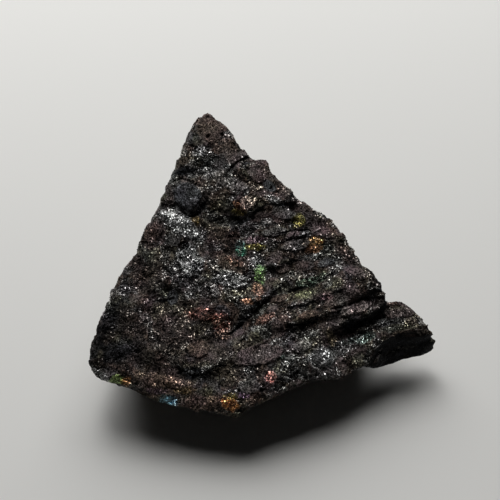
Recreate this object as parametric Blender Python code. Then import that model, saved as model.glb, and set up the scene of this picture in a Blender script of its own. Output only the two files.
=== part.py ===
"""A hand-sized piece of goethite with a rainbow tarnish, as one solid stone.

It is a three-cornered chunk with a broad broken face that leans towards -Y, a low spur on its
right and a rough underside that ends in a small flat foot. The stone splits in thin layers, so
its face comes down in ledges and its sides are stepped. Sizes are in millimetres until the end.
"""

import math

import bmesh
import bpy
from mathutils import Vector, noise

MM = 0.001

# The broad face: its height over the middle of the stone, and its rise towards the back
FACE_HEIGHT = 22.1
FACE_RISE = 0.24
EDGE_THICKNESS = 2.4

# The outline seen from above, anticlockwise from the sharp top corner
OUTLINE = (
    (-15.5, 42.5),
    (-19.0, 37.0),
    (-21.5, 31.5),
    (-24.5, 23.0),
    (-28.0, 15.0),
    (-29.5, 11.0),
    (-33.0, 5.0),
    (-34.0, 0.0),
    (-37.5, -4.0),
    (-40.0, -12.5),
    (-42.0, -18.0),
    (-43.5, -24.5),
    (-43.5, -28.5),
    (-41.0, -31.0),
    (-35.5, -33.0),
    (-32.0, -34.0),
    (-26.0, -37.5),
    (-16.0, -39.5),
    (-6.5, -42.0),
    (-3.0, -39.0),
    (6.5, -34.0),
    (19.0, -31.0),
    (28.0, -27.5),
    (34.0, -25.0),
    (40.0, -23.0),
    (47.0, -20.5),
    (43.5, -17.5),
    (42.0, -14.5),
    (39.5, -12.0),
    (37.0, -10.5),
    (34.5, -10.5),
    (33.0, -12.0),
    (32.0, -9.0),
    (28.0, -3.0),
    (24.5, 2.5),
    (21.5, 7.5),
    (15.5, 12.5),
    (11.0, 15.5),
    (6.0, 21.0),
    (3.5, 23.0),
    (1.0, 27.0),
    (-3.0, 28.5),
    (-5.0, 30.5),
    (-8.0, 35.5),
    (-11.0, 39.0),
)

# Ledges on the face, each a line along its lip, drawn left to right. Behind the line the rock
# stands proud by the raise, in front of it lies lower by the sink, and both die out over the run.
LEDGES = (
    # lip, raise, sink, run, half the riser's width
    (((-9.6, 22.6), (-7.8, 25.1), (-3.4, 28.4)), 0.4, 0.6, 3.0, 0.5),
    (((-29.0, 14.6), (-24.4, 13.4), (-20.5, 10.6), (-18.6, 11.9), (-16.0, 14.6)), 0.5, 0.6, 3.0, 0.5),
    (((-12.0, 9.9), (-5.9, 10.6), (-0.7, 12.6), (8.6, 14.2)), 0.4, 0.7, 3.0, 0.5),
    (((-3.3, -4.4), (2.2, -3.5), (7.5, -1.2)), 0.3, 0.6, 3.0, 0.5),
    (((7.7, -8.6), (13.2, -7.6), (19.2, -4.4)), 0.3, 0.4, 3.0, 0.5),
    (((7.2, -13.8), (11.6, -13.4), (20.5, -10.1)), 0.3, 0.4, 3.0, 0.5),
    (((-8.0, -19.6), (-1.5, -13.8), (5.1, -7.8)), 0.4, 0.8, 6.0, 0.7),
    (((3.2, -20.3), (11.5, -18.3), (19.3, -13.8), (27.9, -9.8), (50.0, -4.0)), 0.4, 0.6, 8.0, 0.7),
    (((18.0, -15.0), (27.9, -10.4), (50.0, -5.0)), 0.0, 1.5, 30.0, 1.2),
    (((19.0, -19.3), (25.6, -17.0), (30.1, -15.2), (32.4, -13.0), (33.0, -8.0)), 0.3, 2.8, 30.0, 0.6),
    (((3.7, -32.8), (6.6, -30.9), (9.1, -29.7)), 0.4, 0.5, 2.5, 0.5),
    (((-22.0, -28.6), (-18.8, -31.7), (-16.0, -32.4), (-11.0, -29.8)), 0.4, 0.7, 3.0, 0.5),
)
LIP_FADE = 3.0
LIP_FAN = 0.5

# Crests past which the face breaks away to the stone's edge: line, slope of the break, depth
CRESTS = (
    (((-45.0, -26.6), (-40.4, -29.0), (-32.6, -31.0), (-13.4, -35.6), (-4.0, -36.6)), 0.32, 5.0),
    (((-3.0, -36.2), (4.8, -33.0), (11.2, -30.2), (18.4, -27.8), (25.7, -25.0)), 0.35, 4.0),
    (((28.6, -26.0), (30.6, -21.6), (35.4, -19.4), (40.7, -17.6), (46.0, -16.6)), 2.2, 7.5),
    (((-24.6, -30.0), (-31.0, -20.0), (-33.0, -10.0), (-31.4, 0.0), (-30.0, 10.0)), 0.16, 2.0),
)
CREST_FADE = 6.0

# Shallow hollows in the face: place, half-length, half-width, turn from +X, depth
HOLLOWS = (
    (-24.0, -12.0, 5.0, 3.0, 35.0, 0.8),
    (-18.5, -30.5, 3.6, 2.0, 20.0, 1.4),
    (-18.0, 22.5, 5.0, 2.2, 8.0, 0.7),
    (-3.0, 0.4, 2.2, 1.4, 10.0, 0.9),
    (-37.0, -24.0, 4.0, 3.0, 60.0, 0.7),
    (11.5, -3.5, 5.0, 1.8, 25.0, 0.5),
    (-7.5, -17.5, 3.5, 2.0, 40.0, 0.8),
    (-2.5, -8.0, 4.5, 1.6, 55.0, 0.5),
)

# The underside's flat facets, as how far from the middle each leaves the ground, the way it
# faces as an angle from +X, and how steeply it rises: gentle ones round the foot, then steep ones
KEEL_FACETS = (
    (9.0, -15.0, 0.12),
    (9.0, 42.0, 0.16),
    (12.0, 96.0, 0.13),
    (17.0, 158.0, 0.20),
    (18.0, -150.0, 0.15),
    (14.0, -93.0, 0.14),
    (13.0, -48.0, 0.12),
    (38.0, -22.0, 0.70),
    (13.0, 36.0, 1.70),
    (15.0, 56.0, 1.10),
    (29.0, 104.0, 1.20),
    (26.0, 150.0, 1.05),
    (29.5, 166.0, 0.90),
    (42.0, -147.0, 0.80),
    (30.0, -96.0, 0.85),
    (27.5, -64.0, 0.90),
)
WALL_TAPER = 0.08

# The layering: its lines cross the face at STRIKE from +X, and it dips gently to the back
STRIKE = math.radians(27.0)
BACK_DIP = 0.06
LAYER_THICKNESS = 2.1
LAYER_LENGTH = 15.0
LAYER_SEAM = 0.25
LAYER_SHUFFLE = 9.1
LAYER_WARP = 1.2
WARP_LENGTH = 16.0
FACE_STEPS = 0.3
WALL_STEPS = 1.2
LUMP_SIZE = 7.0
LUMP_RELIEF = 0.6
CHIP_SIZE = 2.8
CHIP_RELIEF = 0.35

BLANK_DEPTH = 22.0
GRAIN = 1.0
TRIANGLES = 9200
FOOT_RUB = 0.35
FOOT_POLISH = 0.45


def layer_axis():
    """The direction across the layers, upwards."""
    along = Vector((math.cos(STRIKE), math.sin(STRIKE), FACE_RISE * math.sin(STRIKE)))
    back = Vector((-math.sin(STRIKE), math.cos(STRIKE), -BACK_DIP))
    return along.cross(back).normalized()


def line_offset(x, y, line):
    """How far a point lies behind a line drawn left to right, negative in front of it, and how
    far it lies past the line's nearer end."""
    nearest, steepest, behind, past = math.inf, 0.0, 0.0, 0.0
    for i, ((ax, ay), (bx, by)) in enumerate(zip(line, line[1:])):
        dx, dy = bx - ax, by - ay
        length = math.hypot(dx, dy)
        along = ((x - ax) * dx + (y - ay) * dy) / length
        across = (dx * (y - ay) - dy * (x - ax)) / length
        held = min(max(along, 0.0), length)
        distance = math.hypot(along - held, across)
        tied = abs(distance - nearest) < 1e-9 and abs(across) > steepest
        if distance < nearest - 1e-9 or tied:
            nearest, steepest = distance, abs(across)
            behind = math.copysign(distance, across)
            before_start = max(-along, 0.0) if i == 0 else 0.0
            after_end = max(along - length, 0.0) if i == len(line) - 2 else 0.0
            past = before_start + after_end
    return behind, past


def ease(low, high, value):
    t = min(max((value - low) / (high - low), 0.0), 1.0)
    return t * t * (3.0 - 2.0 * t)


def ledge_height(x, y, line, lift, sink, run, half_width):
    """What one ledge adds to the face's height."""
    behind, past = line_offset(x, y, line)
    fade = math.exp(-abs(behind) / run) * (1.0 - ease(0.0, LIP_FADE + LIP_FAN * abs(behind), past))
    proud = ease(-half_width, half_width, behind)
    return fade * (lift * proud - sink * (1.0 - proud))


def crest_fall(x, y, crest, slope, depth):
    """How far the face has fallen at a point past a crest."""
    behind, past = line_offset(x, y, crest)
    return min(slope * max(-behind, 0.0), depth) * (1.0 - ease(0.0, CREST_FADE, past))


def hollow_depth(x, y, centre_x, centre_y, half_length, half_width, turn, depth):
    """How deep one shallow hollow is at a point."""
    cos, sin = math.cos(math.radians(turn)), math.sin(math.radians(turn))
    dx, dy = x - centre_x, y - centre_y
    along = (dx * cos + dy * sin) / half_length
    across = (dy * cos - dx * sin) / half_width
    return depth * (1.0 - ease(0.2, 1.5, math.hypot(along, across)))


def face_height(x, y):
    """The broad face, over any point of the outline."""
    height = FACE_HEIGHT + FACE_RISE * y
    height += sum(ledge_height(x, y, *ledge) for ledge in LEDGES)
    height -= sum(hollow_depth(x, y, *hollow) for hollow in HOLLOWS)
    return height - max(crest_fall(x, y, *crest) for crest in CRESTS)


def keel_height(x, y):
    """The underside, over any point of the outline: flat facets round a flat foot."""
    height = 0.0
    for reach, facing, rise in KEEL_FACETS:
        out = x * math.cos(math.radians(facing)) + y * math.sin(math.radians(facing))
        height = max(height, rise * (out - reach))
    return min(height, face_height(x, y) - EDGE_THICKNESS)


def bake_modifiers(obj):
    graph = bpy.context.evaluated_depsgraph_get()
    shaped = bpy.data.meshes.new_from_object(obj.evaluated_get(graph))
    obj.modifiers.clear()
    obj.data = shaped


def remeshed(obj):
    """Replaces an object's mesh with an even net of small faces over the same form."""
    modifier = obj.modifiers.new("even_net", "REMESH")
    modifier.mode = "VOXEL"
    modifier.voxel_size = GRAIN
    bake_modifiers(obj)


def outline_block():
    """A straight-sided block of the outline, whose two ends are then pressed into shape."""
    bm = bmesh.new()
    corners = [bm.verts.new((x, y, 0.0)) for x, y in OUTLINE]
    bottom = bm.faces.new(corners)
    top = bmesh.ops.extrude_face_region(bm, geom=[bottom])
    raised = [v for v in top["geom"] if isinstance(v, bmesh.types.BMVert)]
    bmesh.ops.translate(bm, verts=raised, vec=(0.0, 0.0, BLANK_DEPTH))
    bmesh.ops.recalc_face_normals(bm, faces=bm.faces)
    mesh = bpy.data.meshes.new("goethite_stone")
    bm.to_mesh(mesh)
    bm.free()
    return mesh


def press(mesh):
    """Moves the block's top to the face and its bottom to the keel, and tapers the walls."""
    for vertex in mesh.vertices:
        x, y, z = vertex.co
        share = min(max(z / BLANK_DEPTH, 0.0), 1.0)
        low, high = keel_height(x, y), face_height(x, y)
        narrow = 1.0 - WALL_TAPER * (1.0 - share) ** 2
        vertex.co = (x * narrow, y * narrow, low + share * (high - low))


def layer_step(place, across):
    """How far the layer at a place stands out: each layer has an outline of its own."""
    level = (place.dot(across) + LAYER_WARP * noise.noise(place / WARP_LENGTH)) / LAYER_THICKNESS
    layer = math.floor(level)
    flat = (place - place.dot(across) * across) / LAYER_LENGTH
    here = noise.noise(flat + Vector((0.0, 0.0, LAYER_SHUFFLE * layer)))
    above = noise.noise(flat + Vector((0.0, 0.0, LAYER_SHUFFLE * (layer + 1))))
    blend = ease(1.0 - LAYER_SEAM, 1.0, level - layer)
    return here + (above - here) * blend


def weather(mesh):
    """Breaks the smooth form into stepped layers, lumps and chips."""
    across = layer_axis()
    normals = [v.normal.copy() for v in mesh.vertices]
    for vertex, normal in zip(mesh.vertices, normals):
        place = vertex.co.copy()
        side_on = 1.0 - abs(normal.dot(across))
        steps = FACE_STEPS + (WALL_STEPS - FACE_STEPS) * ease(0.1, 0.7, side_on)
        depth = steps * layer_step(place, across)
        depth += LUMP_RELIEF * noise.fractal(place / LUMP_SIZE, 1.0, 2.0, 2)
        depth += CHIP_RELIEF * noise.noise(place / CHIP_SIZE)
        vertex.co = place + normal * depth


def rub_foot(mesh, depth):
    """Wears the lowest skin of the stone down to the flat spot that it rests on."""
    for vertex in mesh.vertices:
        vertex.co.z = max(vertex.co.z, depth)


def thin_out(obj):
    """Leaves only as many triangles as the form needs."""
    obj.modifiers.new("all_triangles", "TRIANGULATE")
    bake_modifiers(obj)
    modifier = obj.modifiers.new("thin_out", "DECIMATE")
    modifier.ratio = TRIANGLES / len(obj.data.polygons)
    bake_modifiers(obj)


def settle(mesh):
    """Puts the origin under the middle of the stone, level with its foot, and scales to metres."""
    lows = [min(v.co[axis] for v in mesh.vertices) for axis in range(3)]
    highs = [max(v.co[axis] for v in mesh.vertices) for axis in range(3)]
    middle = Vector(((lows[0] + highs[0]) / 2, (lows[1] + highs[1]) / 2, lows[2]))
    for vertex in mesh.vertices:
        vertex.co = (vertex.co - middle) * MM


def goethite_material():
    material = bpy.data.materials.new("dark_goethite")
    material.use_nodes = True
    shader = material.node_tree.nodes["Principled BSDF"]
    shader.inputs["Base Color"].default_value = (0.035, 0.031, 0.030, 1.0)
    shader.inputs["Metallic"].default_value = 0.4
    shader.inputs["Roughness"].default_value = 0.5
    return material


def goethite_stone():
    stone = bpy.data.objects.new("goethite_stone", outline_block())
    bpy.context.scene.collection.objects.link(stone)
    remeshed(stone)
    press(stone.data)
    remeshed(stone)
    weather(stone.data)
    rub_foot(stone.data, FOOT_RUB)
    thin_out(stone)
    rub_foot(stone.data, FOOT_POLISH)
    settle(stone.data)
    stone.data.materials.append(goethite_material())
    return stone


for existing in list(bpy.data.objects):
    bpy.data.objects.remove(existing, do_unlink=True)
goethite_stone()
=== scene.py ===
# A hand-sized piece of goethite with a rainbow tarnish, on a pale floor in soft light from behind
import math

import bmesh
import bpy
import numpy as np
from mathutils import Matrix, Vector, noise


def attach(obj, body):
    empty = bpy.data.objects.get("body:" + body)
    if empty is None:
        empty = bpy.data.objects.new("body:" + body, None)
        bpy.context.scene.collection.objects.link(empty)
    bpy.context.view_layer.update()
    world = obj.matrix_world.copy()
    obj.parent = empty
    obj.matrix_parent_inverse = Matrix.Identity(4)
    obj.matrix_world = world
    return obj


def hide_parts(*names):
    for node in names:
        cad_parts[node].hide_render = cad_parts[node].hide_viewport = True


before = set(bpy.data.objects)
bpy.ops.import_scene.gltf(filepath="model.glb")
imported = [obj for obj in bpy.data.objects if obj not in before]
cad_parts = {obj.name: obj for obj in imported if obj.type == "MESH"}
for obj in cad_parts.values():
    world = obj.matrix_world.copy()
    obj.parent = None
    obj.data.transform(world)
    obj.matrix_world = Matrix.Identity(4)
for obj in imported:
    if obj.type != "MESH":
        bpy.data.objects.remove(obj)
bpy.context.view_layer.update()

# The camera looks down on the stone from the front, high enough to see the whole broken face.
# Lengths in this script are in millimetres, and MM turns them into metres.
MM = 0.001
CAMERA_ELEVATION = math.radians(57.0)
CAMERA_DISTANCE = 228.83
CAMERA_LENS = 60.0
NEAREST_SEEN = 10.0
LOOKED_AT = Vector((-4.2, 4.4, 16.0))

scene = bpy.context.scene
downward = Vector((0.0, math.cos(CAMERA_ELEVATION), -math.sin(CAMERA_ELEVATION)))
lens = bpy.data.cameras.new("camera")
lens.lens = CAMERA_LENS
lens.clip_start = NEAREST_SEEN * MM
camera = bpy.data.objects.new("camera", lens)
camera.location = (LOOKED_AT - downward * CAMERA_DISTANCE) * MM
camera.rotation_euler = downward.to_track_quat("-Z", "Y").to_euler()
scene.collection.objects.link(camera)
scene.camera = camera
scene.view_settings.view_transform = "Standard"

# The floor is one plain matt sheet, far larger than the view. Light comes from behind the stone,
# from a wide window and a narrower, higher pane, and the pale room adds a little from all round.
FLOOR_REACH = 3000.0
FLOOR_COLOUR = (0.72, 0.715, 0.69, 1.0)
FLOOR_ROUGHNESS = 0.85
# Windows: name, turn from the back, elevation, distance, width, height, watts
WINDOWS = (
    ("wide_window", -7.5, 37.0, 900.0, 1260.0, 520.0, 10.2),
    ("high_window", -15.0, 47.0, 900.0, 300.0, 420.0, 2.6),
)
ROOM_COLOUR = (1.0, 1.0, 1.0, 1.0)
ROOM_GLOW = 0.009

sheet = bmesh.new()
bmesh.ops.create_grid(sheet, x_segments=1, y_segments=1, size=FLOOR_REACH * MM)
floor_mesh = bpy.data.meshes.new("floor")
sheet.to_mesh(floor_mesh)
sheet.free()
matt_sheet = bpy.data.materials.new("matt_sheet")
matt_sheet.use_nodes = True
floor_shader = matt_sheet.node_tree.nodes["Principled BSDF"]
floor_shader.inputs["Base Color"].default_value = FLOOR_COLOUR
floor_shader.inputs["Roughness"].default_value = FLOOR_ROUGHNESS
floor_mesh.materials.append(matt_sheet)
floor = bpy.data.objects.new("floor", floor_mesh)
scene.collection.objects.link(floor)

for name, turn, elevation, distance, width, height, watts in WINDOWS:
    window = bpy.data.lights.new(name, "AREA")
    window.shape = "RECTANGLE"
    window.size = width * MM
    window.size_y = height * MM
    window.energy = watts
    turn = math.radians(turn)
    elevation = math.radians(elevation)
    towards_window = Vector((
        math.sin(turn) * math.cos(elevation),
        math.cos(turn) * math.cos(elevation),
        math.sin(elevation),
    ))
    window_light = bpy.data.objects.new(name, window)
    window_light.location = towards_window * distance * MM
    window_light.rotation_euler = towards_window.to_track_quat("Z", "Y").to_euler()
    scene.collection.objects.link(window_light)

room = bpy.data.worlds.new("room")
room.use_nodes = True
glow = room.node_tree.nodes["Background"]
glow.inputs["Color"].default_value = ROOM_COLOUR
glow.inputs["Strength"].default_value = ROOM_GLOW
scene.world = room

# The stone: one broken piece of scaly iron ore. Its skin takes the place of the plain solid: the
# solid's form in a fine net, re-cut with crisp ledges, low plates, thin layers and chips, and
# painted with the ore's dull grains, metallic plates and rainbow tarnish, and with painted shade
# and painted highlights.

# The net: its mesh width, how close two corners are to be made one, how far a face looks up where
# the net is finer, and how strongly and how many times the flat facets are smoothed. The notched
# end of the spur is smoothed more, from where that starts along X to where it is full.
NET = 0.6
WELD = 0.001
SEEN_RISE = 0.22
SMOOTHING = 0.5
FACET_EASE = 2
END_EASE = 30
END_START = 35.0
END_FULL = 39.0

# Which way a place has to look: its normal's height where the relief counts as on top, and where
# the stone's seen side begins. Each pair is where a soft change starts and where it is full.
LOOKS_UP = (0.2, 0.6)
SEEN_SIDE = (-0.2, 0.1)

# The layers' lines cross the face at STRIKE from +X. For each millimetre to the back the face rises
# by FACE_RISE, and the layers dip by BACK_DIP.
STRIKE = math.radians(27.0)
FACE_RISE = 0.24
BACK_DIP = 0.06

# Ledges: the lip drawn left to right as x, y, then the step's height
LEDGES = (
    (((-9.6, 23.7), (-7.4, 25.9), (-3.9, 28.0)), 0.5),
    (((-30.3, 14.1), (-25.5, 14.2), (-23.2, 12.9), (-21.2, 10.6), (-18.9, 11.6), (-16.7, 14.0)), 0.2),
    (((-13.0, 10.0), (-9.5, 10.9), (-6.4, 10.2), (-3.3, 11.4), (-1.4, 12.4)), 0.5),
    (((-1.4, 12.4), (1.4, 13.4), (7.3, 13.9)), 0.2),
    (((-3.9, 8.5), (-1.0, 9.0), (2.5, 7.3), (5.3, 6.2)), 0.3),
    (((3.8, 3.6), (10.1, 4.9), (13.9, 6.3)), 0.35),
    (((0.7, -4.1), (3.4, -3.0), (6.2, -1.7), (9.2, -0.6)), 0.55),
    (((6.4, -9.1), (11.9, -8.1), (17.9, -4.9)), 0.32),
    (((5.9, -14.3), (10.3, -13.9), (19.2, -10.6)), 0.36),
    (((-9.3, -20.1), (-2.8, -14.3), (3.8, -8.3)), 0.42),
    (((6.1, -19.0), (12.8, -18.1), (15.4, -16.4), (19.0, -14.9), (24.9, -11.6), (32.9, -11.2)), 0.3),
    (((18.0, -19.7), (20.0, -18.3), (24.9, -16.8), (28.6, -15.3)), 0.95),
    (((24.7, -19.5), (29.3, -18.1), (35.3, -16.0)), 0.35),
    (((2.4, -33.3), (4.0, -33.0), (7.5, -30.9)), 0.7),
    (((-22.4, -29.7), (-18.9, -31.6), (-15.4, -31.4), (-13.7, -30.1), (-10.9, -29.5)), 0.5),
    (((-35.7, -17.3), (-30.3, -13.1), (-24.8, -11.1)), 0.2),
)

# A lip: half the width of its crisp edge and of the ramp that leads to it, how far it fades out
# past its ends, and how far it wanders from its line, in two sizes of waves. Along the lip the
# step grows and shrinks between two limits.
LIP_WIDTH = 0.16
RAMP_WIDTH = 2.2
LIP_FADE = 2.5
LIP_WANDER = 0.3
WANDER_SIZE = 2.2
FINE_WANDER = 0.2
FINE_WANDER_SIZE = 0.9
WAX_SIZE = 4.0
WAX_MIDDLE = 0.75
WAX_SWING = 1.2
WAX_LIMITS = (0.15, 1.25)

# The painted highlight behind each lip and the painted shade at its foot: how far behind the lip
# each lies, their width, and how fully they are painted in steel and in near black
HIGHLIGHT_BEHIND = 0.3
FOOT_BEHIND = -0.25
MARK_WIDTH = 0.3
LIP_HIGHLIGHT_STEEL = 0.35
FOOT_SHADE = 0.85

# The solid's broad steps are steeper than the stone's, so their drop is spread out: the line, how
# much of the drop is spread, the half-width of the step and how far to each side it is spread
SPREADS = (
    (
        ((-27.0, 11.8), (-23.2, 10.4), (-13.7, 9.2), (-4.2, 8.8), (5.3, 7.2), (14.7, 6.8), (21.0, 6.0)),
        2.0, 2.2, 9.0,
    ),
    (((19.2, -14.0), (24.6, -12.2), (30.0, -10.0), (34.5, -9.0)), 1.3, 1.4, 7.0),
)
# How far past the ends of its line the spreading fades out
SPREAD_FADE = 5.0

# Where the border is moved a little sideways: place, radius, and the shift to the right and back
NUDGES = (
    (-42.0, -30.0, 9.0, -0.6, -0.6),
    (-36.0, -4.0, 13.0, 0.5, 0.0),
    (-28.0, 13.0, 11.0, 0.4, 0.0),
    (-21.0, 26.0, 8.0, 0.4, 0.0),
    (-2.0, 29.0, 4.0, -0.4, -0.4),
    (41.0, -17.0, 8.0, 1.0, -0.6),
)
NUDGE_EDGE = (0.3, 1.0)
# How far the whole skin stands out, for what the smoothing takes off it
OUTGROWTH = 0.1

# Cracks: thin grooves along a line, with their depth
CRACKS = (
    (((2.7, 5.5), (6.7, 6.5), (11.7, 6.9)), 0.3),
    (((-9.6, 23.7), (-7.4, 25.9), (-3.9, 28.0)), 0.5),
    (((-25.5, 14.2), (-23.2, 12.9), (-21.2, 10.6), (-18.9, 11.6), (-16.7, 14.0), (-16.4, 16.0)), 0.15),
    (((-25.6, 19.7), (-23.2, 21.1), (-19.9, 19.3)), 0.4),
    (((-3.3, 11.4), (-1.4, 12.4), (1.4, 13.4), (5.1, 13.6)), 0.15),
)
CRACK_WIDTH = 0.32
CRACK_WANDER = 0.5

# What the skin is made of from place to place: the colour of its dull grains, the colour of its
# metallic plates, the share of plates, how gritty it is, and how far its hue drifts
GROUND = ((0.036, 0.0245, 0.0182), (0.28, 0.245, 0.215), 0.24, 0.7, 0.14)
STEEL = ((0.045, 0.045, 0.044), (0.50, 0.50, 0.49), 0.75, 1.0, 0.04)
# Painted shade: near black, put in hollows, along a seam, in recesses, pits and cracks, at the foot of
# ledges and along the left border
PAINTED_SHADE = ((0.004, 0.0045, 0.006), (0.03, 0.033, 0.04), 0.2, 0.8, 0.1)
SILVER = ((0.13, 0.13, 0.128), (0.34, 0.34, 0.335), 0.6, 0.3, 0.03)
TAN = ((0.097, 0.067, 0.053), (0.30, 0.22, 0.165), 0.3, 0.5, 0.15)
RUST = ((0.055, 0.035, 0.027), (0.20, 0.14, 0.115), 0.25, 0.6, 0.15)
PLUM = ((0.071, 0.053, 0.051), (0.13, 0.105, 0.105), 0.1, 0.12, 0.1)
SLATE = ((0.050, 0.052, 0.056), (0.12, 0.125, 0.138), 0.12, 0.12, 0.08)
MOSS = ((0.050, 0.047, 0.031), (0.20, 0.19, 0.125), 0.3, 0.5, 0.15)
UMBER = ((0.059, 0.041, 0.032), (0.13, 0.10, 0.08), 0.12, 0.12, 0.12)
# Painted light: a lighter brown that lifts a plate lying in the cast shadow of the step above it
PAINTED_LIGHT = ((0.14, 0.115, 0.11), (0.24, 0.20, 0.19), 0.12, 0.15, 0.08)
ASH = ((0.082, 0.075, 0.071), (0.18, 0.165, 0.16), 0.16, 0.15, 0.08)
BARK = ((0.028, 0.020, 0.0165), (0.13, 0.105, 0.09), 0.26, 0.6, 0.12)
# Painted shade: near black for the spur's steep front, which faces away from the windows
SHADED_FLANK = ((0.0035, 0.0035, 0.0042), (0.016, 0.017, 0.021), 0.15, 0.08, 0.05)

# A tarnished spot: how bright its colour is on the dull grains and on the plates, then its share
# of plates, its grit and its drift of hue
TARNISHED_GRAINS = 0.35
TARNISHED_PLATES = 1.3
TARNISHED_MAKE = (0.7, 0.6, 0.15)


def tarnish(*colour):
    """What a rainbow spot of a colour is made of: bright plates with darker grains between them."""
    grains = tuple(TARNISHED_GRAINS * c for c in colour)
    plates = tuple(TARNISHED_PLATES * c for c in colour)
    return grains, plates, *TARNISHED_MAKE


# Broad patches that show all over the stone: what it is made of, size, the noise's shift, strength
BROAD_PATCHES = (
    (UMBER, 5.0, 40.0, 0.8),
    (SLATE, 5.0, 50.0, 0.6),
    (PLUM, 5.0, 60.0, 0.9),
    (MOSS, 6.0, 70.0, 0.6),
    (STEEL, 3.6, 80.0, 0.5),
)
BROAD_EDGE = (0.12, 0.22)
BROAD_FRAY = 0.12

# Plates of ore that lie on the face with a crisp edge: what it is made of, place, half-length,
# half-width, turn from +X, height, and how much it rises to the back
FACE_PLATES = (
    (SLATE, -21.6, 15.7, 4.6, 3.8, -25.0, 0.16, -0.03),
    (ASH, -8.9, 19.2, 4.8, 1.9, -14.0, 0.20, -0.12),
    (PLUM, -2.6, 21.9, 3.4, 2.0, -45.0, 0.20, -0.08),
    (UMBER, -14.4, 34.8, 4.4, 3.4, 60.0, 0.10, 0.0),
    (SLATE, 1.1, 18.6, 2.2, 1.5, -40.0, 0.15, -0.05),
    (ASH, 4.9, 11.3, 3.6, 2.0, -10.0, 0.20, -0.10),
    (tarnish(0.50, 0.40, 0.33), -4.7, 13.8, 2.6, 2.1, 10.0, 0.35, -0.30),
    (ASH, 2.3, 6.2, 4.0, 1.4, 8.0, 0.20, -0.14),
    (ASH, 8.0, 2.7, 4.4, 1.9, 12.0, 0.20, -0.10),
    (PLUM, 4.6, -3.4, 2.2, 1.2, 15.0, 0.15, -0.10),
    (UMBER, 3.8, -11.4, 2.8, 1.3, 15.0, 0.15, -0.10),
    (tarnish(0.22, 0.13, 0.10), -0.2, -17.1, 3.0, 1.5, 12.0, 0.20, -0.10),
    (UMBER, 11.0, -16.6, 3.2, 1.2, 15.0, 0.15, -0.10),
    # painted light: this plate lies in a cast shadow, and its colour is lifted to stand in for the
    # light
    (PAINTED_LIGHT, 23.4, -14.4, 5.0, 1.8, 20.0, 0.25, -0.12),
    (PLUM, -1.8, -27.0, 7.0, 3.0, 10.0, 0.25, -0.05),
    (UMBER, -17.4, -24.8, 3.2, 2.6, 15.0, 0.25, -0.10),
    (ASH, -4.3, -35.0, 2.8, 1.8, 10.0, 0.20, 0.0),
    (TAN, -27.4, -33.2, 6.4, 1.9, -8.0, 0.15, 0.0),
    (SLATE, -24.6, -11.1, 1.6, 2.6, 0.0, 0.12, 0.0),
    (BARK, -33.9, -4.0, 2.4, 3.6, 20.0, 0.15, 0.0),
    (SLATE, 16.0, -2.0, 2.6, 1.3, 22.0, 0.15, -0.10),
    (PLUM, 23.6, -5.6, 3.4, 1.8, -35.0, 0.15, 0.0),
    (PLUM, 34.4, -14.6, 4.0, 1.4, 10.0, 0.15, 0.0),
    (ASH, 9.0, -24.6, 3.4, 1.8, 15.0, 0.20, -0.10),
    (SILVER, -22.9, 8.2, 5.8, 3.0, -36.0, 0.30, 0.0),
    (STEEL, -20.4, -1.2, 3.6, 5.2, 20.0, 0.10, -0.08),
    (STEEL, -9.2, -6.8, 5.2, 2.0, -12.0, 0.15, -0.06),
)
# Where an oval's soft border starts and ends, with its rim at 1, how far that border frays, and how
# fully a plate covers what is under it
PLATE_EDGE = (0.82, 1.0)
PLATE_FRAY = 0.16
PLATE_COVER = 0.9

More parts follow.
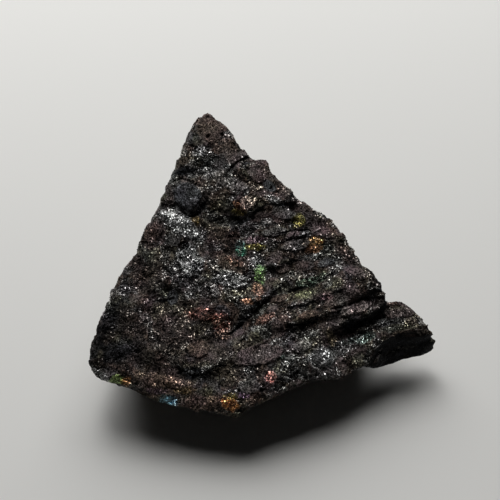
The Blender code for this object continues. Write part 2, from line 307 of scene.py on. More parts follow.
# Softer patches without a crisp edge: what it is made of, place, half-length, half-width, turn from
# +X and strength
FACE_ZONES = (
    (UMBER, -15.6, 36.0, 7.0, 4.4, 105.0, 1.0),
    (RUST, -10.5, 30.8, 5.5, 3.0, -50.0, 0.9),
    (PLUM, -9.0, 27.0, 3.4, 2.4, -50.0, 0.8),
    (PLUM, 1.0, 20.8, 8.0, 2.6, -46.0, 0.8),
    (PLUM, 12.5, 9.0, 8.0, 2.6, -46.0, 0.9),
    (BARK, 23.5, -2.0, 8.0, 2.4, -52.0, 0.8),
    (BARK, -16.5, 17.0, 3.5, 3.0, 0.0, 0.7),
    (BARK, 2.8, 18.2, 2.8, 2.0, -40.0, 0.7),
    (BARK, -15.6, 36.5, 5.0, 4.0, 105.0, 0.4),
    (BARK, -22.5, -21.0, 3.0, 2.4, 0.0, 0.6),
    (RUST, -13.3, 14.3, 3.6, 2.2, -10.0, 0.7),
    (RUST, 4.5, 17.0, 7.0, 3.0, -42.0, 0.4),
    (RUST, -31.0, 4.6, 2.2, 4.0, -25.0, 0.8),
    (RUST, -12.2, 5.1, 4.0, 3.0, 0.0, 0.7),
    (RUST, -10.4, -2.6, 4.0, 1.4, -25.0, 0.8),
    (BARK, -31.5, -7.0, 5.0, 5.5, 0.0, 0.9),
    (BARK, -24.0, -16.5, 8.0, 4.5, 10.0, 0.6),
    (BARK, -36.0, -19.0, 6.0, 6.0, 0.0, 0.8),
    (BARK, -24.0, -26.5, 8.0, 4.0, 0.0, 0.7),
    (RUST, -16.9, -15.9, 5.0, 2.4, 0.0, 0.7),
    (TAN, -26.0, -34.2, 9.0, 3.2, -8.0, 0.8),
    (TAN, -15.5, -38.8, 8.0, 3.0, -8.0, 1.0),
    (RUST, -8.8, -31.5, 6.0, 2.8, 0.0, 0.5),
    (TAN, -3.4, -37.2, 5.0, 2.0, 14.0, 0.9),
    (RUST, 20.0, 1.6, 2.4, 1.6, 0.0, 0.6),
    (BARK, -11.4, -21.3, 3.4, 2.6, 0.0, 0.7),
    (UMBER, -38.0, -29.0, 2.0, 1.4, 0.0, 0.7),
    (BARK, -20.0, -21.5, 12.0, 5.0, 0.0, 0.7),
    (BARK, -8.0, -28.5, 8.0, 4.0, 10.0, 0.6),
    (BARK, -32.5, -27.0, 6.0, 4.0, -20.0, 0.8),
    (PLUM, 16.7, -11.7, 4.0, 1.6, 15.0, 0.5),
    (MOSS, -11.2, 12.8, 4.0, 2.0, 0.0, 0.5),
    (MOSS, 10.2, -10.8, 5.0, 2.2, 15.0, 0.8),
    (MOSS, 14.3, -5.8, 5.0, 1.6, 20.0, 0.5),
    (MOSS, -16.4, -35.9, 3.0, 1.2, 0.0, 0.7),
    (STEEL, -17.9, 28.8, 3.2, 2.0, 10.0, 0.9),
    (STEEL, -15.8, 23.2, 3.2, 1.5, -10.0, 0.9),
    (STEEL, -24.5, 9.6, 6.6, 3.8, -30.0, 0.8),
    (STEEL, -19.6, 5.4, 4.4, 3.2, -45.0, 0.6),
    (STEEL, -20.6, -4.4, 4.6, 7.0, 10.0, 0.6),
    (STEEL, -15.6, -9.5, 4.4, 3.6, -30.0, 0.45),
    (STEEL, -3.9, 7.9, 2.4, 1.6, 0.0, 0.7),
    (STEEL, -2.9, -0.7, 2.8, 1.8, 0.0, 0.3),
    (BARK, 8.8, -4.8, 2.8, 1.6, 20.0, 0.7),
    (STEEL, 2.3, 14.6, 3.0, 1.2, -30.0, 0.6),
    (STEEL, 13.0, 0.4, 4.0, 1.2, 20.0, 0.5),
    (STEEL, 19.6, -23.6, 4.6, 2.4, 14.0, 0.7),
    (STEEL, 12.6, -27.6, 4.4, 2.4, 14.0, 0.8),
    (SILVER, 14.6, -26.8, 4.2, 2.8, 14.0, 1.0),
    (STEEL, 10.6, -21.6, 3.4, 1.6, 10.0, 0.6),
    (STEEL, 7.0, -31.8, 3.8, 1.5, 18.0, 0.8),
    (STEEL, 5.4, -28.6, 2.6, 1.6, 10.0, 0.6),
    (STEEL, -9.2, -6.6, 4.0, 2.6, -20.0, 0.7),
    (STEEL, -4.2, -30.6, 2.2, 1.2, 10.0, 0.5),
    (MOSS, 33.4, -18.4, 6.5, 0.9, 12.0, 0.9),
    (STEEL, 31.0, -19.0, 4.0, 0.7, 14.0, 0.4),
    # Painted shade in hollows, along a seam, in recesses and pits, and along the left border, which
    # turns away from the windows
    (PAINTED_SHADE, -22.0, 23.2, 4.4, 1.4, 8.0, 1.0),
    (PAINTED_SHADE, -22.5, 5.5, 2.4, 0.6, 22.0, 0.5),
    (PAINTED_SHADE, -37.6, -25.7, 5.4, 3.4, 15.0, 0.9),
    (PAINTED_SHADE, -40.5, -18.0, 2.6, 7.0, -22.0, 0.8),
    (PAINTED_SHADE, -19.0, -31.2, 4.0, 2.0, -12.0, 1.0),
    (BARK, -10.8, -26.0, 3.0, 2.0, 20.0, 0.8),
    (PAINTED_SHADE, -4.6, -15.4, 6.5, 1.3, 43.0, 0.8),
    (PAINTED_SHADE, 8.5, -19.9, 4.0, 0.6, 8.0, 0.6),
    (PAINTED_SHADE, 23.4, -17.9, 4.2, 1.0, 18.0, 1.0),
    (PAINTED_SHADE, 28.6, -16.4, 2.6, 0.8, 25.0, 0.6),
    # Painted light: lifts the foot of the step, which lies in a cast shadow
    (PAINTED_LIGHT, 29.0, -13.4, 4.0, 1.8, 10.0, 0.6),
    (PAINTED_LIGHT, 19.0, -12.6, 4.4, 1.8, 20.0, 0.9),
    (PAINTED_LIGHT, 17.5, -18.5, 2.6, 2.0, 20.0, 0.8),
    (BARK, 28.0, -6.8, 3.6, 2.6, -35.0, 0.8),
    (PAINTED_SHADE, 26.5, -12.3, 3.6, 0.6, 6.0, 0.5),
    (PAINTED_SHADE, -1.2, -35.4, 1.4, 0.9, 0.0, 0.9),
    (PAINTED_SHADE, -5.3, 25.2, 1.3, 0.8, 0.0, 0.9),
    (PAINTED_SHADE, -5.8, 9.6, 3.4, 0.6, 14.0, 0.9),
    (PAINTED_SHADE, 5.1, -2.3, 3.0, 0.5, 25.0, 0.5),
    (PAINTED_SHADE, -43.3, -24.0, 1.8, 6.0, -8.0, 0.8),
    (STEEL, -41.2, -31.2, 3.6, 1.2, -36.0, 1.0),
)
ZONE_EDGE = (0.45, 1.2)
ZONE_FRAY = 0.35

# Rainbow tarnish on the face, speckled: colour, x, y, half-length, half-width, turn, strength
TARNISH_SPOTS = (
    ((0.55, 0.48, 0.14), 9.0, 9.3, 1.8, 2.0, 0.0, 1.0),
    ((1.0, 0.60, 0.27), 13.0, 3.3, 3.0, 1.2, 8.0, 1.0),
    ((0.55, 0.27, 0.15), 13.1, 1.8, 2.6, 1.1, 8.0, 1.0),
    ((0.035, 0.12, 0.075), -6.4, 1.6, 1.7, 1.9, 0.0, 1.0),
    ((0.09, 0.17, 0.17), -5.5, 3.2, 2.6, 1.4, 0.0, 0.5),
    ((0.55, 0.50, 0.16), -2.6, 2.4, 2.8, 0.9, 0.0, 1.0),
    ((0.20, 0.09, 0.13), -2.9, 4.4, 3.0, 1.2, 0.0, 0.6),
    ((0.50, 0.80, 0.34), -1.5, -5.1, 1.6, 2.6, 0.0, 1.0),
    ((0.62, 0.36, 0.25), -2.2, -9.4, 1.4, 2.9, 10.0, 1.0),
    ((0.55, 0.26, 0.15), -4.9, -12.4, 1.6, 1.0, 0.0, 0.9),
    ((0.40, 0.32, 0.12), -7.0, 11.9, 2.2, 1.1, 0.0, 0.9),
    ((0.42, 0.21, 0.11), -7.7, 13.4, 1.2, 1.2, 0.0, 0.9),
    ((0.60, 0.51, 0.42), -1.4, 17.9, 1.1, 0.9, 0.0, 0.9),
    ((0.32, 0.21, 0.08), -18.9, 9.6, 1.6, 1.3, 0.0, 0.9),
    ((0.30, 0.12, 0.09), -16.0, -15.6, 4.4, 1.8, -10.0, 0.6),
    ((0.30, 0.11, 0.085), -11.6, -17.8, 2.8, 2.6, 0.0, 0.7),
    ((0.24, 0.15, 0.10), -11.0, -20.8, 2.4, 1.4, 0.0, 0.6),
    ((0.32, 0.16, 0.12), -8.4, -1.6, 2.6, 1.2, -25.0, 0.7),
    ((0.32, 0.16, 0.10), -0.6, -17.4, 3.0, 1.4, 8.0, 0.8),
    ((0.07, 0.14, 0.10), 12.0, -7.0, 4.6, 1.4, 18.0, 0.7),
    ((0.22, 0.23, 0.13), 10.2, -10.6, 2.6, 1.6, 10.0, 0.6),
    ((0.24, 0.13, 0.14), 15.6, -12.2, 2.2, 1.0, 10.0, 0.6),
    ((0.24, 0.12, 0.11), 24.0, -14.9, 3.0, 1.1, 16.0, 0.7),
    ((0.46, 0.36, 0.22), 17.0, -21.4, 1.6, 1.8, 0.0, 0.7),
    ((0.14, 0.19, 0.17), 24.6, -21.2, 4.6, 1.3, 14.0, 0.7),
    ((0.52, 0.72, 0.24), -37.4, -32.5, 1.5, 1.2, 0.0, 0.9),
    ((0.60, 0.30, 0.13), -35.3, -33.2, 1.2, 1.1, 0.0, 0.9),
    ((0.46, 0.80, 1.0), -24.7, -37.9, 2.4, 1.4, 0.0, 0.95),
    ((0.36, 0.25, 0.12), -20.5, -35.6, 3.0, 0.9, 0.0, 0.7),
    ((0.12, 0.06, 0.12), -27.5, -35.6, 3.0, 0.8, 0.0, 0.5),
    ((0.98, 0.42, 0.15), -9.2, -39.0, 2.2, 1.5, 0.0, 1.0),
    ((0.66, 0.55, 0.20), -8.8, -37.2, 1.9, 0.8, 0.0, 0.9),
    ((0.30, 0.16, 0.36), -6.0, -37.0, 1.6, 0.8, 0.0, 0.6),
    ((0.98, 0.45, 0.38), 1.0, -32.6, 1.3, 1.5, 0.0, 1.0),
    ((0.14, 0.26, 0.22), 2.6, -27.5, 2.6, 1.0, 0.0, 0.6),
)
TARNISH_EDGE = (0.7, 1.2)
SPECKLE_SIZE = 0.6
SPECKLE_MIDDLE = 0.9
SPECKLE_SWING = 1.3
SPECKLE_LIMITS = (0.2, 1.0)

# The waves that fray the borders of all patches
FRAY_SIZE = 2.4
FINE_FRAY = 0.7
FINE_FRAY_SIZE = 0.9

# The spur's steep front: how far it looks outwards, where it starts along X, and how little it
# looks up
FRONT_OUTWARD = (0.3, 0.5)
FRONT_ALONG = (24.0, 28.0)
FRONT_STEEP = (0.75, 0.6)

# Small pits and bumps: place, radius and height
DIMPLES = (
    (-15.9, 33.1, 0.7, -0.7),
    (-12.0, 33.9, 0.6, -0.6),
    (-9.0, 31.7, 0.6, 0.35),
    (-18.3, 32.2, 1.0, 0.3),
    (-5.0, 23.4, 0.9, -0.8),
    (-6.8, 24.4, 0.5, 0.35),
    (-6.0, 21.8, 0.6, 0.4),
    (-1.4, 17.9, 0.8, 0.3),
    (-1.2, -35.4, 1.0, -0.6),
)
DIMPLE_EDGE = (0.3, 1.1)


def layer_axis():
    """The direction across the layers, upwards."""
    along = Vector((math.cos(STRIKE), math.sin(STRIKE), FACE_RISE * math.sin(STRIKE)))
    back = Vector((-math.sin(STRIKE), math.cos(STRIKE), -BACK_DIP))
    return along.cross(back).normalized()


def ease(start, full, value):
    """Goes smoothly from 0 at the start to 1 where it is full, which may be the lower value."""
    t = np.clip((value - start) / (full - start), 0.0, 1.0)
    return t * t * (3.0 - 2.0 * t)


def line_offset(places, line):
    """How far each place lies behind a line drawn left to right, negative in front of it, and
    how far it lies past the line's nearer end."""
    nearest = np.full(len(places), np.inf)
    behind = np.zeros(len(places))
    past = np.zeros(len(places))
    last = len(line) - 2
    for i, (start, end) in enumerate(zip(line, line[1:])):
        run = np.subtract(end, start)
        length = np.hypot(*run)
        offset = places[:, :2] - start
        along = offset @ run / length
        across = (run[0] * offset[:, 1] - run[1] * offset[:, 0]) / length
        distance = np.hypot(along - np.clip(along, 0.0, length), across)
        closer = distance < nearest
        nearest = np.where(closer, distance, nearest)
        behind = np.where(closer, np.copysign(distance, across), behind)
        beyond = (i == 0) * np.maximum(-along, 0.0) + (i == last) * np.maximum(along - length, 0.0)
        past = np.where(closer, beyond, past)
    return behind, past


def noise_over(places, size, shift=0.0):
    """Smooth noise from -1 to 1 at each place, with features of about the size given. Each use
    has a size and shift of its own, so that no two patterns are alike."""
    return np.array([noise.noise(Vector(p)) for p in places / size + shift])


def noise_vectors(places, size, shifts):
    """Three patterns of smooth noise side by side."""
    return np.column_stack([noise_over(places, size, shift) for shift in shifts])


# Two unlike numbers, so that a cell's tilt and its share have nothing to do with each other
TILT_KEY = 31.7
SHARE_KEY = 17.3


def tilted_cells(places, size, shift):
    """Breaks space into cells. Gives, at each place, the height of its cell's own tilted plane
    over the cell's middle, and a random share of the cell."""
    height = np.empty(len(places))
    share = np.empty(len(places))
    for i, p in enumerate(places / size + shift):
        middle = noise.voronoi(Vector(p))[1][0]
        height[i] = (Vector(p) - middle).dot(noise.cell_vector(middle * TILT_KEY)) * size
        share[i] = noise.cell(middle * SHARE_KEY)
    return height, share


def bake_modifiers(obj):
    """Makes the shape that the modifiers give the object its own mesh."""
    graph = bpy.context.evaluated_depsgraph_get()
    shaped = bpy.data.meshes.new_from_object(obj.evaluated_get(graph))
    obj.modifiers.clear()
    obj.data = shaped


def read_vectors(items, name):
    """One row of three numbers for each vertex or face."""
    values = np.empty(len(items) * 3, np.float32)
    items.foreach_get(name, values)
    return values.reshape(-1, 3).astype(float)


def write_attribute(mesh, name, values):
    """Keeps a number or a colour for each vertex under a name that the materials read."""
    if values.ndim == 1:
        kept = mesh.attributes.new(name, "FLOAT", "POINT")
        kept.data.foreach_set("value", values.astype(np.float32))
    else:
        kept = mesh.attributes.new(name, "FLOAT_COLOR", "POINT")
        opaque = np.column_stack([values, np.ones(len(values))])
        kept.data.foreach_set("color", opaque.astype(np.float32).ravel())


def fine_net():
    """The solid's form as an even net of small faces, split finer on the side seen from above,
    with the solid's flat facets eased a little, and its notched end more."""
    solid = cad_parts["goethite_stone"]
    bm = bmesh.new()
    bm.from_mesh(solid.data)
    bmesh.ops.remove_doubles(bm, verts=bm.verts, dist=WELD * MM)
    mesh = bpy.data.meshes.new("goethite_skin")
    bm.to_mesh(mesh)
    bm.free()
    made = bpy.data.objects.new("goethite_skin", mesh)
    scene.collection.objects.link(made)
    net = made.modifiers.new("fine_net", "REMESH")
    net.mode = "VOXEL"
    net.voxel_size = NET * MM
    bake_modifiers(made)
    bm = bmesh.new()
    bm.from_mesh(made.data)
    seen_edges = {edge for face in bm.faces if face.normal.z > SEEN_RISE for edge in face.edges}
    bmesh.ops.subdivide_edges(bm, edges=list(seen_edges), cuts=1, use_grid_fill=True)
    bmesh.ops.triangulate(bm, faces=[face for face in bm.faces if len(face.verts) > 4])
    bm.to_mesh(made.data)
    bm.free()
    fit = made.modifiers.new("fit_to_solid", "SHRINKWRAP")
    fit.target = solid
    fit.wrap_method = "NEAREST_SURFACEPOINT"
    easing = made.modifiers.new("ease_facets", "SMOOTH")
    easing.factor = SMOOTHING
    easing.iterations = FACET_EASE
    spur_end = made.vertex_groups.new(name="spur_end")
    for vert in made.data.vertices:
        share = (vert.co.x / MM - END_START) / (END_FULL - END_START)
        if share > 0.0:
            spur_end.add([vert.index], min(share, 1.0), "REPLACE")
    end_easing = made.modifiers.new("ease_spur_end", "SMOOTH")
    end_easing.factor = SMOOTHING
    end_easing.iterations = END_EASE
    end_easing.vertex_group = "spur_end"
    bake_modifiers(made)
    return made


skin = fine_net()
places = read_vectors(skin.data.vertices, "co") / MM
normals = read_vectors(skin.data.vertices, "normal")
across = np.array(layer_axis())
upward = ease(*LOOKS_UP, normals[:, 2])
seen_side = ease(*SEEN_SIDE, normals[:, 2])
fray = noise_over(places, FRAY_SIZE, 20.0) + FINE_FRAY * noise_over(places, FINE_FRAY_SIZE, 60.0)


def patch(x, y, half_length, half_width, turn, edge, frayed=0.0):
    """How fully each place lies in a turned oval with a soft, frayed border, and how far behind
    the oval's middle it lies."""
    cos = math.cos(math.radians(turn))
    sin = math.sin(math.radians(turn))
    dx = places[:, 0] - x
    dy = places[:, 1] - y
    reach = np.hypot((dx * cos + dy * sin) / half_length, (dy * cos - dx * sin) / half_width)
    return 1.0 - ease(*edge, reach + frayed * fray), dy


def blend_zone(made_of, zone, share):
    """Mixes what a zone is made of into each place's values, by the zone's share there."""
    for values, wanted in zip(made_of, zone):
        mix = share if values.ndim == 1 else share[:, None]
        values += (np.array(wanted) - values) * mix


# Paint the patches: broad ones all over, then the face's own zones and spots with frayed borders
made_of = []
for part in GROUND:
    rows = (len(places), 1) if np.ndim(part) else len(places)
    made_of.append(np.tile(np.array(part, float), rows))
for zone, size, shift, strength in BROAD_PATCHES:
    spotted = noise_over(places, size, shift) + BROAD_FRAY * fray
    blend_zone(made_of, zone, strength * ease(*BROAD_EDGE, spotted))
for zone, *where, strength in FACE_ZONES:
    inside, behind = patch(*where, ZONE_EDGE, ZONE_FRAY)
    blend_zone(made_of, zone, strength * seen_side * inside)
speckle = SPECKLE_MIDDLE + SPECKLE_SWING * noise_over(places, SPECKLE_SIZE, 44.0)
speckle = np.clip(speckle, *SPECKLE_LIMITS)
for colour, *where, strength in TARNISH_SPOTS:
    inside, behind = patch(*where, TARNISH_EDGE, ZONE_FRAY)
    blend_zone(made_of, tarnish(*colour), strength * seen_side * speckle * inside)

# The spur's steep front is smooth, and painted near black as painted shade, since it faces away
# from the windows
outward = np.maximum(-normals[:, 1], normals[:, 0])
front = ease(*FRONT_OUTWARD, outward) * ease(*FRONT_ALONG, places[:, 0])
front *= ease(*FRONT_STEEP, normals[:, 2])
blend_zone(made_of, SHADED_FLANK, front)

# Lay the plates on the face, and add its pits and bumps
lifted = np.zeros(len(places))
for zone, *where, height, rise in FACE_PLATES:
    inside, behind = patch(*where, PLATE_EDGE, PLATE_FRAY)
    inside = seen_side * inside
    blend_zone(made_of, zone, PLATE_COVER * inside)
    lifted += inside * (height + rise * behind)
for x, y, radius, height in DIMPLES:
    inside, behind = patch(x, y, radius, radius, 0.0, DIMPLE_EDGE)
    lifted += height * inside

# Cut the ledges down to crisp lips that wander a little, spread the solid's broad steps, and open
# the cracks. Each lip gets a painted highlight in steel, and the foot of each ledge and each crack
# gets painted shade in near black.
wander = LIP_WANDER * noise_over(places, WANDER_SIZE)
wander += FINE_WANDER * noise_over(places, FINE_WANDER_SIZE, 7.0)
waxing = np.clip(WAX_MIDDLE + WAX_SWING * noise_over(places, WAX_SIZE, 90.0), *WAX_LIMITS)
lip_highlight = np.zeros(len(places))
painted_shade_marks = np.zeros(len(places))
for line, height in LEDGES:
    behind, past = line_offset(places, line)
    behind = behind + wander
    kept = waxing * (1.0 - ease(0.0, LIP_FADE, past))
    crisp = ease(-LIP_WIDTH, LIP_WIDTH, behind) - ease(-RAMP_WIDTH, RAMP_WIDTH, behind)
    lifted += height * kept * crisp
    lip_highlight = np.maximum(lip_highlight, kept * np.exp(-((behind - HIGHLIGHT_BEHIND) / MARK_WIDTH) ** 2))
    painted_shade_marks = np.maximum(painted_shade_marks, kept * np.exp(-((behind - FOOT_BEHIND) / MARK_WIDTH) ** 2))
for line, drop, half_width, spread in SPREADS:
    behind, past = line_offset(places, line)
    kept = 1.0 - ease(0.0, SPREAD_FADE, past)
    lifted -= drop * kept * (ease(-half_width, half_width, behind) - ease(-spread, spread, behind))
for line, depth in CRACKS:
    behind, past = line_offset(places, line)
    kept = 1.0 - ease(0.0, LIP_FADE, past)
    groove = kept * (1.0 - ease(0.0, CRACK_WIDTH, np.abs(behind + CRACK_WANDER * wander)))
    lifted -= depth * groove
    painted_shade_marks = np.maximum(painted_shade_marks, groove)
places[:, 2] += lifted * upward
# Painted highlight along the lips, and painted shade at the feet of ledges and in the cracks
blend_zone(made_of, STEEL, LIP_HIGHLIGHT_STEEL * lip_highlight * upward)
blend_zone(made_of, PAINTED_SHADE, FOOT_SHADE * painted_shade_marks * upward)
grain_colour, plate_colour, plate_share, grit, drift = made_of

# The plates gather in clusters, more so where there are few. The sides are less gritty, and the
# hue drifts from place to place, less in the plates.
CLUSTER_SIZE = 2.4
CLUSTER_EDGE = (-0.25, 0.3)
CLUSTER_LEAST = 0.15
CLUSTER_SWING = 1.05
SIDE_GRIT = 0.5
HUE_SIZE = 4.0
HUE_STRENGTH = 1.2
PLATE_HUE = 0.5

gathered = CLUSTER_SWING * ease(*CLUSTER_EDGE, noise_over(places, CLUSTER_SIZE, 27.0))
gathered = CLUSTER_LEAST + gathered
plate_share *= gathered + (1.0 - gathered) * plate_share
grit *= SIDE_GRIT + (1.0 - SIDE_GRIT) * upward
hue = noise_vectors(places, HUE_SIZE, (15.0, 35.0, 55.0))
hue = 1.0 + HUE_STRENGTH * drift[:, None] * (hue - hue.mean(axis=1, keepdims=True))
grain_colour *= hue
plate_colour *= 1.0 - PLATE_HUE + PLATE_HUE * hue

# Thin steps where the layers come to the surface, each layer with its own strength. The layers are
# a little warped, and the last part of each is its edge. The steps show in patches on the face,
# more to the right, and stronger and more evenly on the walls, which cut across the layers.
STEP_THICKNESS = 0.95
STEP_WARP = 1.6
WARP_SIZE = 9.0
STEP_EDGE = (0.75, 1.0)
LAYER_SEED = 5
MOST_LAYERS = 400
ON_WALL = (0.1, 0.7)
FACE_STEPS = 0.35
WALL_STEPS = 0.6
STEP_PATCH = 6.0
STEP_PATCH_EDGE = (-0.05, 0.3)
MORE_TO_RIGHT = 0.006
WALL_PATCHES = 0.6

level = (places @ across + STEP_WARP * noise_over(places, WARP_SIZE)) / STEP_THICKNESS
layer = np.floor(level)
rest = level - layer
riser = ease(*STEP_EDGE, rest) - rest
strength_of_layer = np.random.default_rng(LAYER_SEED).random(MOST_LAYERS) ** 2
strength = strength_of_layer[(layer - layer.min()).astype(int)]
wall = ease(*ON_WALL, 1.0 - np.abs(normals @ across))
patchy = ease(*STEP_PATCH_EDGE, noise_over(places, STEP_PATCH, 3.0) + MORE_TO_RIGHT * places[:, 0])
patchy += (WALL_PATCHES - patchy) * wall
steps = grit * strength * patchy * (FACE_STEPS + (WALL_STEPS - FACE_STEPS) * wall)
places += across * (riser * STEP_THICKNESS * steps)[:, None]

# Flakes, chips and crumbs of ore, in cells that lie flat along the layers and are a little bent.
# They fade out towards the flat spot that the stone rests on, and the spur's front has low flakes.
CELL_FLATNESS = 0.7
CELL_BEND = 0.5
CELL_BEND_SIZE = 1.6
FLAKE_SIZE = 5.5
FLAKE_TILT = 0.11
FRONT_SMOOTHNESS = 0.85
CHIP_SIZE = 1.7
CHIP_TILT = 0.18
CHIP_JUMP = 0.10
CRUMB_SIZE = 0.75
CRUMB_RELIEF = 0.13
FINE_CRUMBS = 0.6
FOOT_FLAT = 0.15
FOOT_CLEAR = 1.2

flattened = places + across * (places @ across)[:, None] * CELL_FLATNESS
flattened += CELL_BEND * noise_vectors(places, CELL_BEND_SIZE, (13.0, 23.0, 33.0))
flake = tilted_cells(flattened, FLAKE_SIZE, 5.0)[0]
chip, chip_rank = tilted_cells(flattened, CHIP_SIZE, 11.0)
crumbs = noise_over(places, CRUMB_SIZE) + FINE_CRUMBS * noise_over(places, 0.5 * CRUMB_SIZE, 4.0)
fine = grit * (CHIP_TILT * chip + CHIP_JUMP * (chip_rank - 0.5) + CRUMB_RELIEF * crumbs)
relief = OUTGROWTH + FLAKE_TILT * (1.0 - FRONT_SMOOTHNESS * front) * flake + fine
clear = ease(FOOT_FLAT, FOOT_CLEAR, places[:, 2])
places += normals * (relief * clear)[:, None]
for x, y, radius, sideways, backwards in NUDGES:
    inside, behind = patch(x, y, radius, radius, 0.0, NUDGE_EDGE)
    places[:, :2] += np.outer(inside, (sideways, backwards))
places[:, 2] = np.maximum(places[:, 2], 0.0)
skin.data.vertices.foreach_set("co", (places * MM).astype(np.float32).ravel())
skin.data.update()
write_attribute(skin.data, "grain_colour", grain_colour)
write_attribute(skin.data, "plate_colour", plate_colour)
write_attribute(skin.data, "plate_share", plate_share)
# The relief is kept for the material, which paints shade into the hollows and highlight onto high spots
write_attribute(skin.data, "relief", fine)


class Wire:
    """A shader socket that can be used in sums: each operator adds its Math node."""

    def __init__(self, tree, socket=None):
        self.tree = tree
        self.socket = socket

    def node(self, kind, settings=(), inputs=(), output=0):
        """Adds a node, sets it up, then fills or links its inputs, and wraps one of its outputs."""
        made = self.tree.nodes.new(kind)
        for name, value in dict(settings).items():
            setattr(made, name, value)
        for name, value in dict(inputs).items():
            if isinstance(value, Wire):
                self.tree.links.new(value.socket, made.inputs[name])
            else:
                made.inputs[name].default_value = value
        return Wire(self.tree, made.outputs[output])

    def maths(self, operation, *values):
        """Adds a Math node on numbers and wires."""
        return self.node("ShaderNodeMath", {"operation": operation}, dict(enumerate(values)))

    def __add__(self, other):
        return self.maths("ADD", self, other)

    def __radd__(self, other):
        return self.maths("ADD", other, self)

    def __sub__(self, other):
        return self.maths("SUBTRACT", self, other)

    def __rsub__(self, other):
        return self.maths("SUBTRACT", other, self)

    def __mul__(self, other):
        return self.maths("MULTIPLY", self, other)

    def __rmul__(self, other):
        return self.maths("MULTIPLY", other, self)


# Each scale is one cell of the ore: its size, how far it leans, and how rough, shiny and metallic
# it is. Its shade goes up from the least by the swing. The colour is painted darker in the hollows
# of the relief as painted shade, and lighter on its high spots as painted highlight.
SCALE_SIZE = 0.26
SCALE_LEAN = 1.0
PLATE_ROUGHNESS = 0.3
GRAIN_ROUGHNESS = 0.8
GRAIN_SHINE = 0.22
PLATE_METAL = 0.9
GRAIN_LEAST = 0.35
GRAIN_SWING = 1.8
PLATE_LEAST = 0.4
PLATE_SWING = 0.95
HOLLOW = -0.2
HOLLOW_SHADE = 0.06
HIGH_SPOT = 0.12
HIGH_SPOT_HIGHLIGHT = 1.75


def ore_material():
    """Scaly iron ore: dull grains among metallic plates that each catch the light their own way,
    with painted shade in the hollows and painted highlight on the high spots.
    """
    material = bpy.data.materials.new("scaly_goethite")
    material.use_nodes = True
    tree = material.node_tree
    shader = tree.nodes["Principled BSDF"]
    wire = Wire(tree)

    def vector(operation, **values):
        """Adds a Vector Math node."""
        names = {"a": 0, "b": 1, "scale": "Scale"}
        inputs = {names[key]: value for key, value in values.items()}
        return wire.node("ShaderNodeVectorMath", {"operation": operation}, inputs)

    def attribute(name, output):
        """Reads what the mesh keeps under a name."""
        return wire.node("ShaderNodeAttribute", {"attribute_name": name}, (), output)

    place = wire.node("ShaderNodeTexCoord", output="Object")
    cells = {"Vector": place, "Scale": 1.0 / (SCALE_SIZE * MM)}
    scales = wire.node("ShaderNodeTexVoronoi", {}, cells, "Color")
    lean = vector("SCALE", a=vector("SUBTRACT", a=scales, b=(0.5, 0.5, 0.5)), scale=SCALE_LEAN)
    facing = wire.node("ShaderNodeNewGeometry", output="Normal")
    normal = vector("NORMALIZE", a=vector("ADD", a=facing, b=lean))
    rank = wire.node("ShaderNodeSeparateColor", {}, {"Color": scales})
    shade = Wire(tree, rank.socket.node.outputs["Green"])
    plates = wire.maths("LESS_THAN", rank, attribute("plate_share", "Fac"))
    # Painted shade and highlight from the relief: hollows darkened, high spots lightened
    painted_relief_shade = wire.node("ShaderNodeMapRange", {}, {
        "Value": attribute("relief", "Fac"),
        "From Min": HOLLOW,
        "From Max": HIGH_SPOT,
        "To Min": HOLLOW_SHADE,
        "To Max": HIGH_SPOT_HIGHLIGHT,
    })
    grain_shade = GRAIN_LEAST + GRAIN_SWING * shade * shade
    plate_shade = PLATE_LEAST + PLATE_SWING * shade * shade
    grain = vector("SCALE", a=attribute("grain_colour", "Color"), scale=grain_shade * painted_relief_shade)
    plate = vector("SCALE", a=attribute("plate_colour", "Color"), scale=plate_shade * painted_relief_shade)
    # A colour Mix has its factor at 0, its two colours at 6 and 7, and its result at 2
    colour = wire.node("ShaderNodeMix", {"data_type": "RGBA"}, {0: plates, 6: grain, 7: plate}, 2)
    roughness = GRAIN_ROUGHNESS - (GRAIN_ROUGHNESS - PLATE_ROUGHNESS) * plates
    shader.inputs["Specular IOR Level"].default_value = GRAIN_SHINE
    tree.links.new(colour.socket, shader.inputs["Base Color"])
    tree.links.new((PLATE_METAL * plates).socket, shader.inputs["Metallic"])
    tree.links.new(roughness.socket, shader.inputs["Roughness"])
    tree.links.new(normal.socket, shader.inputs["Normal"])
    return material


skin.data.materials.append(ore_material())
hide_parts("goethite_stone")
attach(skin, "root")

# Plates and grains that stand out of the skin: thin plates of ore with the lustre of the place
# they grow on, and blunt dark grains. Each kind is one joined mesh, half sunk in the skin.
# Kinds: name, how many, size, thickness, how far they lean, whether they are metallic, seed
LOOSE_KINDS = (
    ("bright_plates", 11000, 0.34, 0.08, 0.40, True, 31),
    ("dark_grains", 5000, 0.38, 0.24, 0.60, False, 33),
)

# Where they grow: the plates in clumps with a soft edge, the grains mostly between them, and both
# on gritty places. Plates keep to where the skin has plates, the more so the higher the power. Few
# grow on the underside, and none near the spot that the stone rests on.
CLUMP_SIZE = 1.4
CLUMP_EDGE = (-0.2, 0.25)
BETWEEN_CLUMPS = 0.15
LOOSE_GRIT = (0.3, 1.0)
PLATE_POWER = 1.5
UNDER_SHARE = 0.25
UNDER_EDGE = (-0.2, 0.3)
LOOSE_CLEAR = (FOOT_CLEAR, 1.5 * FOOT_CLEAR)

# How they vary: spread and limits of size, width to length, thickness, skew and shade. A plate's
# top is narrower than its foot by the taper.
SIZE_SPREAD = 0.25
SIZE_LIMITS = (0.6, 1.6)
WIDTHS = (0.55, 1.0)
THICKNESSES = (0.8, 1.3)
SKEW = 0.4
SHADES = (0.35, 1.0)
TAPER = 0.8

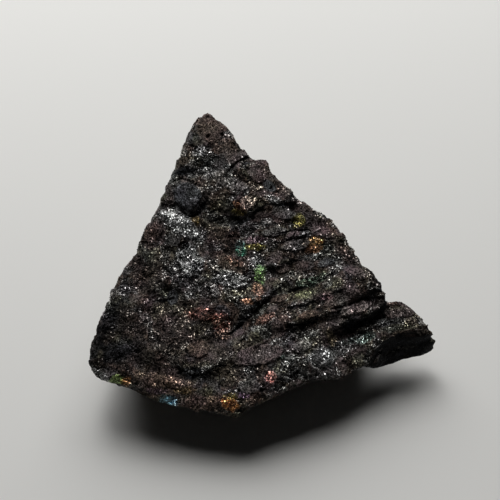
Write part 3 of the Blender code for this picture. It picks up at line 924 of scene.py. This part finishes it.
# Their finish: how dark the grains are, and the plates' roughness. Wear goes up from the least
# colour by the swing, and makes the surface rougher and smoother.
DARK_GRAIN = 0.4
LOOSE_ROUGHNESS = 0.3
WEAR_SIZE = 0.5 * SCALE_SIZE
WEAR_LEAST = 0.6
WEAR_SWING = 0.8
WEAR_ROUGHNESS = 0.2


def read_numbers(items, name, kind):
    """One number for each face or corner."""
    values = np.empty(len(items), kind)
    items.foreach_get(name, values)
    return values


face_starts = read_numbers(skin.data.polygons, "loop_start", np.int32)
first_corner = read_numbers(skin.data.loops, "vertex_index", np.int32)[face_starts]
face_areas = read_numbers(skin.data.polygons, "area", np.float32)
face_middles = read_vectors(skin.data.polygons, "center") / MM
face_normals = read_vectors(skin.data.polygons, "normal")
clumps = ease(*CLUMP_EDGE, noise_over(face_middles, CLUMP_SIZE, 9.0))


def unit(rows):
    """Each row as a direction of length 1."""
    return rows / np.linalg.norm(rows, axis=1, keepdims=True)


def plate_shape():
    """One small four-cornered plate, 1 across and 1 thick, with sides that lean in."""
    bm = bmesh.new()
    bmesh.ops.create_cone(
        bm, cap_ends=True, segments=4, radius1=0.5, radius2=0.5 * TAPER, depth=1.0)
    corners = np.array([vert.co for vert in bm.verts])
    sides = np.array([[vert.index for vert in face.verts] for face in bm.faces])
    bm.free()
    return corners, sides


def pick_faces(random, count, metallic):
    """Faces of the skin to grow on, spread evenly over the places that suit the kind."""
    gritty = ease(*LOOSE_GRIT, grit[first_corner])
    if metallic:
        wanted = plate_share[first_corner] ** PLATE_POWER * (BETWEEN_CLUMPS + clumps)
    else:
        wanted = 1.0 + BETWEEN_CLUMPS - clumps
    wanted = wanted * gritty * (UNDER_SHARE + ease(*UNDER_EDGE, face_normals[:, 2]))
    wanted = wanted * face_areas * ease(*LOOSE_CLEAR, face_middles[:, 2])
    steps_up = np.cumsum(wanted) / wanted.sum()
    return np.searchsorted(steps_up, (np.arange(count) + random.random(count)) / count)


def join_copies(name, points, sides):
    """One mesh of many copies of the plate, from the corners of each copy and the plate's sides."""
    count, corners = points.shape[:2]
    loops = (sides.ravel() + corners * np.arange(count)[:, None]).astype(np.int32).ravel()
    mesh = bpy.data.meshes.new(name)
    mesh.vertices.add(count * corners)
    mesh.vertices.foreach_set("co", (points * MM).astype(np.float32).ravel())
    mesh.loops.add(len(loops))
    mesh.loops.foreach_set("vertex_index", loops)
    mesh.polygons.add(count * len(sides))
    starts = np.arange(0, len(loops), sides.shape[1], dtype=np.int32)
    mesh.polygons.foreach_set("loop_start", starts)
    mesh.update(calc_edges=True)
    return mesh


def scatter(name, count, size, thickness, lean, metallic, seed):
    """Grows copies of the plate on the skin, each with its own place, size, lean and colour."""
    random = np.random.default_rng(seed)
    face = pick_faces(random, count, metallic)
    up = unit(face_normals[face] + lean * random.uniform(-1.0, 1.0, (count, 3)))
    side = unit(np.cross(up, random.uniform(-1.0, 1.0, (count, 3))))
    other = np.cross(up, side)
    long = size * np.exp(SIZE_SPREAD * random.standard_normal(count)).clip(*SIZE_LIMITS)
    wide = long * random.uniform(*WIDTHS, count)
    high = thickness * random.uniform(*THICKNESSES, count)
    middle = face_middles[face] + NET * random.uniform(-0.5, 0.5, (count, 1)) * side
    corners, sides = plate_shape()
    skew = random.uniform(-SKEW, SKEW, (count, 1))
    along = (corners[:, 0] + skew * corners[:, 1]) * long[:, None]
    athwart = corners[:, 1] * wide[:, None]
    raised = corners[:, 2] * high[:, None]
    points = middle[:, None] + along[..., None] * side[:, None]
    points += athwart[..., None] * other[:, None] + raised[..., None] * up[:, None]
    mesh = join_copies(name, points, sides)
    owner = first_corner[face]
    shade = random.uniform(*SHADES, (count, 1))
    colour = shade * (plate_colour[owner] if metallic else DARK_GRAIN * grain_colour[owner])
    write_attribute(mesh, "own_colour", np.repeat(colour, len(corners), axis=0))
    piece = bpy.data.objects.new(name, mesh)
    scene.collection.objects.link(piece)
    return piece


def loose_material(name, metallic):
    """Each plate or grain has one colour of its own, a little uneven where it is worn."""
    material = bpy.data.materials.new(name)
    material.use_nodes = True
    tree = material.node_tree
    shader = tree.nodes["Principled BSDF"]
    wire = Wire(tree)
    own = wire.node("ShaderNodeAttribute", {"attribute_name": "own_colour"}, (), "Color")
    place = wire.node("ShaderNodeTexCoord", output="Object")
    waves = {"Vector": place, "Scale": 1.0 / (WEAR_SIZE * MM)}
    wear = wire.node("ShaderNodeTexNoise", {}, waves, "Fac")
    uneven = {0: own, "Scale": WEAR_LEAST + WEAR_SWING * wear}
    colour = wire.node("ShaderNodeVectorMath", {"operation": "SCALE"}, uneven)
    middle = LOOSE_ROUGHNESS if metallic else GRAIN_ROUGHNESS
    roughness = middle - 0.5 * WEAR_ROUGHNESS + WEAR_ROUGHNESS * wear
    tree.links.new(colour.socket, shader.inputs["Base Color"])
    tree.links.new(roughness.socket, shader.inputs["Roughness"])
    shader.inputs["Metallic"].default_value = PLATE_METAL if metallic else 0.0
    shader.inputs["Specular IOR Level"].default_value = GRAIN_SHINE
    return material


for name, count, size, thickness, lean, metallic, seed in LOOSE_KINDS:
    loose = scatter(name, count, size, thickness, lean, metallic, seed)
    loose.data.materials.append(loose_material(name, metallic))
    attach(loose, "root")
